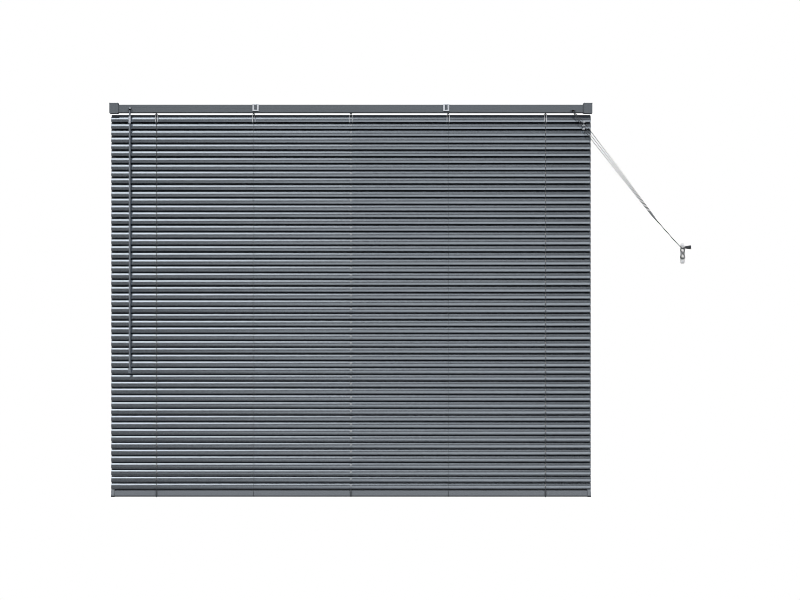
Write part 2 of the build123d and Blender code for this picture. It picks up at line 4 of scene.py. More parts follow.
import bmesh
import bpy
import numpy as np
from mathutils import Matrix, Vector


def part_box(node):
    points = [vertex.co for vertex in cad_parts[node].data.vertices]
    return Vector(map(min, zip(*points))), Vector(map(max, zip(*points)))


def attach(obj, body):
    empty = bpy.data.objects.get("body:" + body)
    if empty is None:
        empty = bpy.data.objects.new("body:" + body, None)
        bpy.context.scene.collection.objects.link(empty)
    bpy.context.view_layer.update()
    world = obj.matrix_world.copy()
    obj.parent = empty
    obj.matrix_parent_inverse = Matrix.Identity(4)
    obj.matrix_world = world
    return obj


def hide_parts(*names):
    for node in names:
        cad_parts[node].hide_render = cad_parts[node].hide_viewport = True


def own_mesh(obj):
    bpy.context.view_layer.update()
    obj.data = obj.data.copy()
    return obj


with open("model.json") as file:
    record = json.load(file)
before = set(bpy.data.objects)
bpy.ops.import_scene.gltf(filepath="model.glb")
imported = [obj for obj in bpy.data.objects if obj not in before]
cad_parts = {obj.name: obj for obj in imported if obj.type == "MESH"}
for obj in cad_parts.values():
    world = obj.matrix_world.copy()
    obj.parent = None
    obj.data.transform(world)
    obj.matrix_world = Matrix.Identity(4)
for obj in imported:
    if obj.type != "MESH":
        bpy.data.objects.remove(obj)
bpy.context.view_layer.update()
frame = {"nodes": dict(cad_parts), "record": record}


# Head rail
# A channel roll-formed from thin steel strip, with inward lips along its open top. It is stove
# enamelled in a satin mid grey, and carries every other piece of the blind.
mm = 0.001


def linear(code):
    """An sRGB hex colour as linear red, green, blue and full alpha."""
    shares = np.array([int(code[i:i + 2], 16) for i in (1, 3, 5)]) / 255
    values = np.where(shares <= 0.04045, shares / 12.92, ((shares + 0.055) / 1.055) ** 2.4)
    return (*values.tolist(), 1.0)


def add(tree, kind, inputs=None, **settings):
    """Adds a node with its settings. An input takes a value, or a link where it is given a socket."""
    node = tree.nodes.new(kind)
    for key, value in settings.items():
        setattr(node, key, value)
    for key, value in (inputs or {}).items():
        if isinstance(value, bpy.types.NodeSocket):
            tree.links.new(value, node.inputs[key])
        else:
            node.inputs[key].default_value = value
    return node


def finish(name, light, dark, grain, rough, metal=0.0, relief=0.1, stretch=(1, 1, 1), drift=0.12):
    """A finish that drifts between two close tones over grains of a real size in metres.

    The same noise lifts the surface a little, and its gloss drifts by a share either way. A stretch
    under one draws the grains out along that axis.
    """
    skin = bpy.data.materials.new(name)
    skin.use_nodes = True
    tree = skin.node_tree
    shader = tree.nodes["Principled BSDF"]
    shader.inputs["Metallic"].default_value = metal
    place = add(tree, "ShaderNodeTexCoord").outputs["Object"]
    drawn = add(tree, "ShaderNodeMapping", {"Vector": place, "Scale": stretch}).outputs["Vector"]
    noise = add(tree, "ShaderNodeTexNoise", {"Vector": drawn, "Scale": 1 / grain, "Detail": 3.0})
    tones = add(tree, "ShaderNodeValToRGB", {"Fac": noise.outputs["Fac"]})
    for stop, place_share, tone in zip(tones.color_ramp.elements, (0.35, 0.65), (dark, light)):
        stop.position = place_share
        stop.color = linear(tone)
    tree.links.new(tones.outputs["Color"], shader.inputs["Base Color"])
    gloss = add(tree, "ShaderNodeMapRange", {
        "Value": noise.outputs["Fac"], "To Min": rough * (1 - drift), "To Max": rough * (1 + drift)})
    tree.links.new(gloss.outputs["Result"], shader.inputs["Roughness"])
    bump = add(tree, "ShaderNodeBump", {
        "Height": noise.outputs["Fac"], "Strength": relief, "Distance": grain / 4})
    tree.links.new(bump.outputs["Normal"], shader.inputs["Normal"])
    return skin


def body_of_node(node):
    """The body that the record lists a node under."""
    bodies = frame["record"]["behaviour"]["bodies"]
    return next(body for body, names in bodies.items() if node in names)


def stand_in(piece, *nodes):
    """The piece takes the place and body of these nodes."""
    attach(piece, body_of_node(nodes[0]))
    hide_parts(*nodes)
    return piece


def softened(node, skin, edge):
    """A copy of a node with its flat faces made whole and its edges rounded over by a real radius."""
    weld = 2e-6
    flat_angle = math.radians(0.5)
    crease_angle = math.radians(35)
    edge_angle = math.radians(50)
    piece = bpy.data.objects.new(node + "_body", frame["nodes"][node].data.copy())
    bpy.context.collection.objects.link(piece)
    shell = bmesh.new()
    shell.from_mesh(piece.data)
    bmesh.ops.remove_doubles(shell, verts=shell.verts, dist=weld)
    bmesh.ops.dissolve_limit(shell, angle_limit=flat_angle, verts=shell.verts, edges=shell.edges)
    for face in shell.faces:
        face.smooth = True
    shell.to_mesh(piece.data)
    shell.free()
    piece.data.materials.clear()
    piece.data.materials.append(skin)
    piece.data.set_sharp_from_angle(angle=crease_angle)
    bevel = piece.modifiers.new("rounded_edges", "BEVEL")
    bevel.width = edge
    bevel.segments = 2
    bevel.limit_method = "ANGLE"
    bevel.angle_limit = edge_angle
    bevel.use_clamp_overlap = True
    bevel.harden_normals = True
    return stand_in(piece, node)


# Stove enamel on steel: an even satin grey with a faint orange-peel skin. Orange peel is about
# 1 mm across, which is drawn three times as coarse so that it shows.
rail_enamel = finish("stove_enamel_grey", "#6f757b", "#6a7076", 3.0 * mm, 0.42, relief=0.04)
softened("head_rail", rail_enamel, 0.3 * mm)


# End brackets and gates
# Pressed steel boxes that the rail's ends drop into, each closed by a gate that swings on a pin
# along its top edge. They are enamelled like the rail.
for side in ("left", "right"):
    softened(f"box_bracket_{side}", rail_enamel, 0.5 * mm)
    softened(f"bracket_gate_{side}", rail_enamel, 0.6 * mm)


# Rail plugs
# Grey moulded blocks pushed into the rail's ends, hidden behind the brackets' gates. The moulding
# leaves a dull grey with a soft sheen.
plug_plastic = finish("moulded_grey_plastic", "#6d7379", "#676d73", 2.0 * mm, 0.45, relief=0.05)
for side in ("left", "right"):
    softened(f"rail_plug_{side}", plug_plastic, 0.3 * mm)


# Centre supports
# Bent strips of white-enamelled steel that hook over the rail and screw to the wall. A slot is
# punched through the front leg, and drawn a little wider than the solid's so that it shows.
def box_of(node):
    """The low and high corners of a node's box."""
    return (np.array(corner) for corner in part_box(node))


support_enamel = finish("stove_enamel_white", "#e4e8ee", "#dde1e7", 3.0 * mm, 0.35, relief=0.03)
front_leg = 4.0 * mm
slot_reach = 3.4 * mm
slot_widen_share = 1.4
for side in ("left", "right"):
    piece = softened(f"centre_support_{side}", support_enamel, 0.4 * mm)
    low, high = box_of(f"centre_support_{side}")
    middle = (low[0] + high[0]) / 2
    for vertex in piece.data.vertices:
        aside = vertex.co.x - middle
        if abs(aside) < slot_reach and vertex.co.y < low[1] + front_leg:
            vertex.co.x = middle + aside * slot_widen_share


# Tilt works inside the rail
# A square zinc-plated rod turns five nylon drums in their cradles, and a nylon wheel drives it.
# Zinc plate is a cool grey metal with a fine drawn grain. Moulded nylon is a dull off-white.
def dress(skin, *nodes):
    """Gives nodes that keep their own shape a finish."""
    for node in nodes:
        mesh = frame["nodes"][node].data
        mesh.materials.clear()
        mesh.materials.append(skin)


zinc_plate = finish("zinc_plated_steel", "#b4b8bc", "#a6aaae", 1.0 * mm, 0.35, metal=1.0, relief=0.05,
                    stretch=(0.05, 1, 1))
nylon = finish("moulded_nylon", "#d8d8d2", "#cfcfc9", 2.0 * mm, 0.5, relief=0.05)
ladder_numbers = range(1, 6)
dress(zinc_plate, "tilt_rod")
dress(nylon, "tilter_wheel")
for number in ladder_numbers:
    dress(nylon, f"ladder_drum_{number}", f"ladder_cradle_{number}")


# Cord lock
# A moulded housing in the rail whose snout comes through the rail's front. A brass roller inside
# jams the cords when they are let go to one side.
lock_plastic = finish("moulded_dark_grey_plastic", "#4d5257", "#474c51", 2.0 * mm, 0.45, relief=0.05)
brass = finish("turned_brass", "#c9a45c", "#bd9850", 0.5 * mm, 0.3, metal=1.0, relief=0.03)
softened("cord_lock_housing", lock_plastic, 0.3 * mm)
dress(brass, "cord_lock_roller")


# Tilter
# A grey moulded case in the rail holds the wheel on the tilt rod and a worm that slants out through
# a snout. The worm's one thread moves the wheel by a tooth for each turn of the wand on its knob.
def quads(rows, columns, wrap_columns=False):
    """Faces of a grid: each joins a point to the next row and column, round the seam if wrapped."""
    row = np.arange(rows - 1)
    column = np.arange(columns if wrap_columns else columns - 1)
    row, column = np.meshgrid(row, column, indexing="ij")
    here = row * columns
    below = (row + 1) * columns
    beside = (column + 1) % columns
    corners = [here + column, here + beside, below + beside, below + column]
    return np.stack(corners, axis=-1).reshape(-1, 4)


def shape(name, points, faces, skin, sharp=35):
    """A mesh object from arrays of points and faces, with doubles merged and normals turned outwards."""
    weld = 1e-7
    mesh = bpy.data.meshes.new(name)
    mesh.from_pydata(points.reshape(-1, 3).tolist(), [], faces.tolist())
    shell = bmesh.new()
    shell.from_mesh(mesh)
    bmesh.ops.remove_doubles(shell, verts=shell.verts, dist=weld)
    bmesh.ops.recalc_face_normals(shell, faces=shell.faces)
    for face in shell.faces:
        face.smooth = True
    shell.to_mesh(mesh)
    shell.free()
    mesh.set_sharp_from_angle(angle=math.radians(sharp))
    mesh.materials.append(skin)
    piece = bpy.data.objects.new(name, mesh)
    bpy.context.collection.objects.link(piece)
    return piece


def round_angles(count):
    """Even angles round a full turn."""
    return np.linspace(0, 2 * np.pi, count, endpoint=False)


def turned(profile, start, along, around=48, swell=1.0):
    """Points of a turned shape: each profile point is a distance along the axis and a radius about it.

    A swell multiplies the radius, from place to place round each ring where it is an array.
    """
    profile = np.array(profile)
    along = np.array(along) / np.linalg.norm(along)
    side = np.cross(along, (0.36, 0.48, 0.8))
    side /= np.linalg.norm(side)
    other = np.cross(along, side)
    angle = round_angles(around)
    ring = np.outer(np.cos(angle), side) + np.outer(np.sin(angle), other)
    radius = profile[:, 1:] * swell
    points = np.array(start) + profile[:, None, :1] * along + radius[..., None] * ring
    return points, quads(len(profile), around, wrap_columns=True)


dress(plug_plastic, "tilter_housing")
worm_slant = math.radians(60)
worm_axis = np.array([0, -math.cos(worm_slant), -math.sin(worm_slant)])
worm_aside = np.array([0, -math.sin(worm_slant), math.cos(worm_slant)])
worm_to_wheel = 9.2 * mm
worm_around = 48
thread_rows = 81
thread_half = 5.0 * mm
thread_lead = 2.9 * mm
thread_root = 1.6 * mm
thread_crest = 2.6 * mm
thread_run_out = 0.8 * mm
stem_radius = 1.1 * mm
knob_near = 15.7 * mm
knob_far = 18.3 * mm
knob_radius = 1.9 * mm
knob_edge = 0.4 * mm
low, high = box_of("tilter_wheel")
worm_middle = (low + high) / 2 + worm_aside * worm_to_wheel
place = np.linspace(-thread_half, thread_half, thread_rows)
ridge = np.clip(0.5 + np.cos(round_angles(worm_around) - 2 * np.pi * place[:, None] / thread_lead), 0, 1)
ridge *= np.clip((thread_half - np.abs(place)) / thread_run_out, 0, 1)[:, None]
barrel = np.stack([place, np.full(thread_rows, thread_root)], -1)
stem_and_knob = [
    [thread_half, stem_radius], [knob_near, stem_radius], [knob_near, knob_radius - knob_edge],
    [knob_near + knob_edge, knob_radius], [knob_far - knob_edge, knob_radius],
    [knob_far, knob_radius - knob_edge], [knob_far, 0],
]
profile = np.concatenate([[[-thread_half, 0]], barrel, stem_and_knob])
swell = np.ones((len(profile), worm_around))
swell[1:1 + thread_rows] += (thread_crest / thread_root - 1) * ridge
points, faces = turned(profile, worm_middle, worm_axis, around=worm_around, swell=swell)
stand_in(shape("tilter_worm_screw", points, faces, plug_plastic), "tilter_worm")


# Wand
# A grey plastic rod of hexagonal section hangs from the tilter in a round sleeve, with a round
# tip pushed over its lower end. Turning it tilts the slats.
def rounded_end(reach, radius, edge, sign, steps=6):
    """Profile points round an edge at one end of a turned shape, from its rim to its face or back."""
    angle = np.linspace(0, np.pi / 2, steps)
    along = reach - sign * edge * (1 - np.sin(angle))
    rim = np.stack([along, radius - edge * (1 - np.cos(angle))], axis=-1)
    return rim.tolist() if sign > 0 else rim[::-1].tolist()


# Moulded styrene, a glossy mid grey that picks up a soft highlight down one flat.
wand_plastic = finish("moulded_styrene_grey", "#767d86", "#717881", 4.0 * mm, 0.28, relief=0.02)
sleeve_plastic = finish("moulded_styrene_pale", "#c4c9d1", "#bdc2ca", 4.0 * mm, 0.28, relief=0.02)
upwards = (0, 0, 1)
low, high = box_of("wand_sleeve")
wand_x, wand_y = ((low + high) / 2)[:2]
sleeve_thinner = 0.6 * mm
sleeve_radius = (high - low)[0] / 2 - sleeve_thinner
sleeve_height = high[2] - low[2]
sleeve_edge = 1.2 * mm
rod_pocket = 7.0 * mm
rod_pocket_radius = 3.8 * mm
stem_pocket = 5.0 * mm
stem_pocket_radius = 2.2 * mm
pocket_floor = sleeve_height - stem_pocket
profile = [
    [rod_pocket, rod_pocket_radius], [0, rod_pocket_radius],
    *rounded_end(0, sleeve_radius, sleeve_edge, -1),
    *rounded_end(sleeve_height, sleeve_radius, sleeve_edge, 1),
    [sleeve_height, stem_pocket_radius], [pocket_floor, stem_pocket_radius], [pocket_floor, 0],
    [rod_pocket, 0], [rod_pocket, rod_pocket_radius],
]
points, faces = turned(profile, (wand_x, wand_y, low[2]), upwards)
stand_in(shape("wand_collar", points, faces, sleeve_plastic), "wand_sleeve")

low, high = box_of("wand_rod")
rod_around = 72
corner_radius = (high - low)[0] / 2
corner_share = 0.965
angle = round_angles(rod_around)
flat_reach = corner_radius * math.cos(np.pi / 6) / np.cos(np.mod(angle, np.pi / 3) - np.pi / 6)
rod_reach = np.minimum(flat_reach, corner_radius * corner_share)
ring = np.stack([rod_reach * np.cos(angle), rod_reach * np.sin(angle)], axis=-1)
levels = np.array([low[2], low[2], high[2], high[2]])
widths = np.array([0, 1, 1, 0])
points = np.zeros((len(levels), rod_around, 3))
points[..., :2] = np.array([wand_x, wand_y]) + widths[:, None, None] * ring
points[..., 2] = levels[:, None]
faces = quads(len(levels), rod_around, wrap_columns=True)
stand_in(shape("wand_stick", points, faces, wand_plastic, sharp=60), "wand_rod")

low, high = box_of("wand_tip")
tip_length = high[2] - low[2]
tip_radius = (high - low)[0] / 2
tip_round = 2.2 * mm
tip_rim = 0.8 * mm
tip_bore = 3.9 * mm
tip_floor = tip_length - 6.0 * mm
profile = [
    [0, 0], *rounded_end(0, tip_radius, tip_round, -1), *rounded_end(tip_length, tip_radius, tip_rim, 1),
    [tip_length, tip_bore], [tip_floor, tip_bore], [tip_floor, 0],
]
points, faces = turned(profile, (wand_x, wand_y, low[2]), upwards)
stand_in(shape("wand_end_cap", points, faces, wand_plastic), "wand_tip")

# The connector is a cup round the tilter's knob, on a shank that the sleeve turns about.
low, high = box_of("wand_connector")
hanger_length = high[2] - low[2]
cup_depth = 3.8 * mm
cup_bore = 2.6 * mm
cup_radius = 3.6 * mm
cup_edge = 0.2 * mm
neck_profile = np.array([[4.2, 3.6], [4.8, 3.2], [5.6, 2.9], [18.2, 2.9], [18.6, 2.5]]) * mm
pin_radius = 1.3 * mm
profile = [
    [cup_depth, 0], [cup_depth, cup_bore], [0, cup_bore],
    [0, cup_radius - cup_edge], [cup_edge, cup_radius],
    *neck_profile.tolist(), [neck_profile[-1, 0], pin_radius],
    [hanger_length, pin_radius], [hanger_length, 0],
]
points, faces = turned(profile, (wand_x, wand_y, high[2]), (0, 0, -1))
stand_in(shape("wand_hanger_cup", points, faces, wand_plastic), "wand_connector")


# Slats
# Strips of thin aluminium, roll-formed to a shallow crown, coated in a metallic grey and punched
# with a slot for each lift cord. They are closed, front edge down, each over the top of the next.
slat_count = 55
slat_pitch = 22.55 * mm
slat_width = 25.0 * mm
slat_crown = 1.8 * mm
slat_sheet = 0.25 * mm
slat_tilt = math.radians(72)
slat_half = 795.5 * mm
slat_corner = 3.0 * mm
rail_y = -17.0 * mm
rail_bottom = -15.7 * mm
first_slat = -33.5 * mm
ladder_places = np.array([-645.0, -322.5, 0.0, 322.5, 645.0]) * mm
lift_places = ladder_places[::2]
route_radius = 1.2 * mm
route_straight = 2.9 * mm
route_patch = 6.0 * mm
ring_shares = np.array([0, 0.25, 0.6, 1])
across_half = np.array([3.2, 6.4, 9.5, 10.5, 11.4, 12.1, 12.5]) * mm
across = np.concatenate([-across_half[::-1], [0], across_half])


def strip(starts, ends):
    """Flat points and faces between two lines across the slat, given as their places along it."""
    rows = np.stack([np.stack([starts, across], -1), np.stack([ends, across], -1)])
    return rows.reshape(-1, 2), quads(2, len(across))


def route_ring(centre):
    """Flat points and faces of the patch round one slot, in rings from its outline to a rectangle.

    Each ray from the slot's middle meets its straight side, or else the round end beyond it.
    """
    speck = 1e-9
    edge = np.linspace(-route_patch, route_patch, 5)
    side = np.full(len(across) - 1, route_patch)
    end = np.full(len(edge) - 1, slat_width / 2)
    outer = np.concatenate([
        np.stack([-side, across[:-1]], -1), np.stack([edge[:-1], end], -1),
        np.stack([side, across[:0:-1]], -1), np.stack([edge[:0:-1], -end], -1),
    ])
    ray = np.abs(outer) + speck
    to_side = route_radius / ray[:, 0]
    square = (ray ** 2).sum(-1)
    reach = np.sqrt(np.maximum(route_radius ** 2 * square - (route_straight * ray[:, 0]) ** 2, 0))
    to_end = (route_straight * ray[:, 1] + reach) / square
    share = np.where(to_side * ray[:, 1] <= route_straight, to_side, to_end)
    inner = outer * share[:, None]
    rings = inner + (outer - inner) * ring_shares[:, None, None]
    rings[..., 0] += centre
    return rings.reshape(-1, 2), quads(len(ring_shares), len(outer), wrap_columns=True)


# One slat laid flat: its rounded ends, the plain lengths between the slots, and a patch at each slot.
edge_inset = np.maximum(np.abs(across) - slat_width / 2 + slat_corner, 0)
end_line = slat_half - slat_corner + np.sqrt(slat_corner ** 2 - edge_inset ** 2)
line = np.full(len(across), 1.0)
patch_ends = np.concatenate([[x - route_patch, x + route_patch] for x in lift_places])
stops = [-slat_half + slat_corner, *patch_ends, slat_half - slat_corner]
patches = [strip(-end_line, line * stops[0]), strip(line * stops[-1], end_line)]
patches += [strip(line * a, line * b) for a, b in zip(stops[::2], stops[1::2])]
patches += [route_ring(x) for x in lift_places]
offsets = np.cumsum([0] + [len(p) for p, f in patches[:-1]])
flat = np.concatenate([p for p, f in patches])
faces = np.concatenate([f + offset for (p, f), offset in zip(patches, offsets)])
micron = 0.001 * mm
_, first, index = np.unique(np.round(flat / micron), axis=0, return_index=True, return_inverse=True)
flat = flat[first]
faces = index.reshape(-1)[faces]
turn = flat[faces]
area = np.cross(turn[:, 1] - turn[:, 0], turn[:, 2] - turn[:, 0])
faces[area > 0] = faces[area > 0][:, ::-1]

# The sheet's back is the same grid turned over, and a rim closes each edge that only one face has.
edges = np.concatenate([faces[:, [i, (i + 1) % 4]] for i in range(4)])
codes = edges[:, 0] * len(flat) + edges[:, 1]
back_codes = edges[:, 1] * len(flat) + edges[:, 0]
rim = edges[~np.isin(codes, back_codes)]
count = len(flat)
rim_faces = np.stack([rim[:, 1], rim[:, 0], rim[:, 0] + count, rim[:, 1] + count], -1)
closed = np.concatenate([faces, faces[:, ::-1] + count, rim_faces])

# The flat grid is crowned, tilted and repeated down the blind.
chord = np.array([0, -math.cos(slat_tilt), -math.sin(slat_tilt)])
outward = np.array([0, -math.sin(slat_tilt), math.cos(slat_tilt)])
rise = -slat_crown * (2 * flat[:, 1] / slat_width) ** 2
middle = np.array([0, rail_y, first_slat])
front = middle + flat[:, :1] * np.array([1, 0, 0]) + flat[:, 1:] * chord + rise[:, None] * outward
single = np.concatenate([front, front - slat_sheet * outward])
drops = np.zeros((slat_count, 1, 3))
drops[:, 0, 2] = -slat_pitch * np.arange(slat_count)
points = single + drops
faces = closed + (np.arange(slat_count) * len(single))[:, None, None]


def gathers_up(piece):
    """The piece gets a mesh of its own."""
    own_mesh(piece)


# Coil-coated aluminium: a metallic grey lacquer with a soft mirror along the crown. The rolling
# grain runs along the slat, and is drawn coarser than its real tenth of a millimetre.
slat_lacquer = finish("coil_coated_aluminium", "#bec7d1", "#b8c1cb", 1.2 * mm, 0.21, metal=1.0, relief=0.0,
                      stretch=(0.02, 1, 1), drift=0.01)
slat_piece = shape("slat_set", points, faces.reshape(-1, 4), slat_lacquer, sharp=50)
stand_in(slat_piece, "slats")
gathers_up(slat_piece)


# Ladders
# Braided polyester strings that hang from the drums, one in front of the slats and one behind,
# with a thin rung under each slat. Loops of the same braid hold the top slats at the front. They
# are coloured pale as a painted highlight, for the light that falls on them there.
def tube(path, radius, sides=8):
    """Points and faces of a round tube: circles square to the path, turned from one fixed direction."""
    path = np.asarray(path, float)
    ahead = np.gradient(path, axis=-2)
    ahead /= np.linalg.norm(ahead, axis=-1, keepdims=True)
    side = np.cross(ahead, np.broadcast_to((0.8, 0.53, 0.27), ahead.shape))
    side /= np.linalg.norm(side, axis=-1, keepdims=True)
    other = np.cross(ahead, side)
    angle = round_angles(sides)
    rings = path[..., None, :] + radius * (np.cos(angle)[:, None] * side[..., None, :]
                                          + np.sin(angle)[:, None] * other[..., None, :])
    return rings, quads(path.shape[-2], sides, wrap_columns=True)


def gathered(parts):
    """Several groups of points and faces as one."""
    sizes = np.cumsum([0] + [p.reshape(-1, 3).shape[0] for p, f in parts])
    points = np.concatenate([p.reshape(-1, 3) for p, f in parts])
    return points, np.concatenate([f + size for (p, f), size in zip(parts, sizes)])


def cord_piece(piece, body):
    """A piece of cord that stands for no node rides a body."""
    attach(piece, body)
    return piece


# Braided polyester, a dark grey with a fine herringbone of strands about 0.8 mm long.
cord_braid = finish("braided_polyester_dark", "#3f4348", "#2b2e32", 0.8 * mm, 0.75, relief=0.5)
# The loops are the same braid as the strings, coloured pale as a painted highlight where the light falls
# on them.
painted_highlight_braid = finish("braided_polyester_painted_highlight", "#d3d6da", "#c2c5c9", 0.8 * mm, 0.75, relief=0.5)
string_radius = 0.65 * mm
string_end = -1264.3 * mm
drum_reach = 7.35 * mm
above_floor = -14.0 * mm
below_floor = -16.7 * mm
settle = 6.0 * mm
string_runs = (
    (rail_y - drum_reach, -20.0 * mm, -33.5 * mm),
    (rail_y + drum_reach, -10.6 * mm, -22.2 * mm),
)
rung_share = 0.7
rung_across = np.array([12.9, 8.0, 0.0, -8.0, -12.9]) * mm
rung_under = -slat_crown * (2 * rung_across / slat_width) ** 2 - slat_sheet - string_radius
loop_radius = 1.15 * mm
loop_aside = 4.0 * mm
loop_aside_shares = np.array([0.3, 1, 1, 1, 1])
loop_y = np.array([-23.6, -21.6, -20.9, -20.9, -17.6]) * mm
loop_z = np.array([-16.4, -24.0, -34.0, -44.0, -46.4]) * mm
for number, x in zip(ladder_numbers, ladder_places):
    parts = []
    for wide, close, meet in string_runs:
        path = [(x, wide, 0), (x, wide, above_floor), (x, wide, below_floor), (x, close, meet),
                (x, close, meet - settle), (x, close, string_end)]
        parts.append(tube(path, string_radius))
    top_rung = np.array([x, rail_y, first_slat]) + rung_across[:, None] * chord
    top_rung += rung_under[:, None] * outward
    rings, faces = tube(top_rung + drops, string_radius * rung_share, sides=4)
    faces = faces + (np.arange(slat_count) * rings.shape[1] * rings.shape[2])[:, None, None]
    parts.append((rings, faces.reshape(-1, 4)))
    piece = shape(f"ladder_strings_{number}", *gathered(parts), cord_braid)
    gathers_up(stand_in(piece, f"ladder_{number}"))
    loops = [tube(np.stack([x + sign * loop_aside * loop_aside_shares, loop_y, loop_z], -1), loop_radius)
             for sign in (-1, 1)]
    piece = shape(f"ladder_loop_{number}", *gathered(loops), painted_highlight_braid)
    gathers_up(cord_piece(piece, "head"))


# Lift cords
# Three braided cords rise from the bottom rail through the slats' slots, turn over the rail's
# floor and run along it to the lock.
cord_radius = 0.9 * mm
lock_x = 735.0 * mm
lock_mouth = -31.5 * mm
lift_heights = np.array([-9.4, -11.4, -13.4]) * mm
upright_steps = 40
bend = np.linspace(0, np.pi / 2, 7)
bend_line = np.ones(len(bend))
turn_up = 3.0 * mm
turn_out = 5.0 * mm
for number, (x, height) in enumerate(zip(lift_places, lift_heights), 1):
    upright = np.array([(x, rail_y, z) for z in np.linspace(string_end, rail_bottom, upright_steps)])
    piece = shape(f"lift_cord_upright_{number}", *tube(upright, cord_radius), cord_braid)
    gathers_up(stand_in(piece, f"lift_cord_{number}"))
    over = np.stack([x + turn_up * (1 - np.cos(bend)), bend_line * rail_y,
                     height - turn_up * (1 - np.sin(bend))], -1)
    out = np.stack([lock_x - turn_out * (1 - np.sin(bend)), rail_y - turn_out * (1 - np.cos(bend)),
                    bend_line * height], -1)
    route = np.concatenate([[(x, rail_y, rail_bottom)], over, out, [(lock_x, lock_mouth, height)]])
    cord_piece(shape(f"lift_cord_in_rail_{number}", *tube(route, cord_radius), cord_braid), "head")


# Bottom rail
# A flattened tube of enamelled steel that weighs the slats down, tilted like them, with moulded
# caps over its ends and buttons underneath that hold the ladders' ends.
outline_steps = 64
bottom_rail_z = -1276.6 * mm
tube_size = np.array([24.5, 9.0]) * mm
tube_wall = 1.6 * mm
tube_inner = tube_size - tube_wall
tube_end = slat_half - 1.6 * mm
lip_height = 5.2 * mm
lip_setback = 3.5 * mm
lip_rise = 3.0 * mm
step_edge = 0.8 * mm
step_slope = 0.2 * mm


def oval(width, height):
    """Outline of a flattened tube: half circles at its two edges, joined by flats."""
    angle = round_angles(outline_steps)
    radius = height / 2
    shift = np.where(np.cos(angle) >= 0, 1, -1) * (width / 2 - radius)
    return np.stack([radius * np.cos(angle) + shift, radius * np.sin(angle)], -1)


def stepped(width, height):
    """Outline of the rail: a flattened tube whose upper edge is set back to a thin lip behind a step."""
    ring = oval(width, height)
    lower = outline_steps // 4 + 1
    foot = width / 2 - lip_height
    lip = height / 2 - lip_setback
    upper = ring[lower:].copy()
    upper[:, 1] = np.minimum(upper[:, 1], lip)
    upper[upper[:, 0] < 0, 0] -= lip_rise
    step = [[-foot + step_edge, height / 2], [-foot, height / 2 - step_edge], [-foot - step_slope, lip]]
    return np.concatenate([ring[:lower], step, upper])


def on_bottom_rail(place, outline):
    """Points of an outline at a place along the tilted bottom rail."""
    middle = np.array([place, rail_y, bottom_rail_z])
    return middle + outline[:, :1] * chord + outline[:, 1:] * outward


def oval_run(steps, outline):
    """Points along the tilted bottom rail: each step is a place along it, with a width and a height."""
    rings = np.array([on_bottom_rail(place, outline(*size)) for place, size in steps])
    return rings, quads(len(steps), rings.shape[1], wrap_columns=True)


bottom_enamel = finish("stove_enamel_light_grey", "#6d7278", "#676c72", 3.0 * mm, 0.42, relief=0.04)
tube_steps = [(-tube_end, tube_inner), (-tube_end, tube_size), (tube_end, tube_size),
              (tube_end, tube_inner), (-tube_end, tube_inner)]
stand_in(shape("bottom_rail_tube", *oval_run(tube_steps, stepped), bottom_enamel), "bottom_rail")

cap_plastic = finish("moulded_cap_plastic", "#73787e", "#6d7278", 2.0 * mm, 0.4, relief=0.05)
cap_size = tube_size + 2.4 * mm
cap_inner = tube_size + 0.4 * mm
cap_edge = 0.8 * mm
cap_mouth = slat_half - 11.0 * mm
cap_floor = slat_half - 1.6 * mm
mouth_edge = 0.2 * mm
closing_share = 0.01
cap_steps = [
    (cap_mouth, cap_inner), (cap_mouth, cap_size - 2 * mouth_edge), (cap_mouth + mouth_edge, cap_size),
    (slat_half - cap_edge, cap_size), (slat_half - 0.3 * cap_edge, cap_size - 0.6 * cap_edge),
    (slat_half, cap_size - 2 * cap_edge), (slat_half, cap_size * closing_share),
    (cap_floor, cap_size * closing_share), (cap_floor, cap_inner), (cap_mouth, cap_inner),
]
for side, sign in (("left", -1), ("right", 1)):
    points, faces = oval_run([(sign * place, size) for place, size in cap_steps], oval)
    stand_in(shape(f"bottom_cap_{side}", points, faces, cap_plastic), f"bottom_rail_cap_{side}")
softened("ladder_plugs", plug_plastic, 0.5 * mm)

# The ladders' ends are knotted round the tube: a short dark tail of string shows over its front
# at each ladder, and a thicker one where a lift cord comes down as well.
tail_radii = np.array([1.5, 0.6, 1.5, 0.6, 1.5]) * mm
tail_room = 0.1 * mm
tail_first = 2
tail_last = 30
for number, x, tail_radius in zip(ladder_numbers, ladder_places, tail_radii):
    ring = oval(*(tube_size + 2 * tail_radius + tail_room))
    path = on_bottom_rail(x, ring[tail_first:tail_last + 1])
    cord_piece(shape(f"ladder_tail_{number}", *tube(path, tail_radius), cord_braid), "bottom_bar")


# Pull cords, stops and connector
# The three lift cords leave the lock, pass through pale moulded stops and are drawn tight to a
# moulded grey connector, where they join one thicker cord.
def limp_cord(name, route, radius):
    """A smooth cord: the route's points are the control points of one open spline."""
    curve = bpy.data.curves.new(name, "CURVE")
    curve.dimensions = "3D"
    curve.bevel_depth = radius
    curve.bevel_resolution = 3
    curve.use_fill_caps = True
    spline = curve.splines.new("NURBS")
    spline.points.add(len(route) - 1)
    spline.points.foreach_set("co", np.column_stack([route, np.ones(len(route))]).ravel())
    spline.order_u = 3
    spline.use_endpoint_u = True
    spline.resolution_u = 8
    curve.materials.append(cord_braid)
    piece = bpy.data.objects.new(name, curve)
    bpy.context.collection.objects.link(piece)
    return piece


def unit(vector):
    """A vector's direction."""
    return vector / np.linalg.norm(vector)


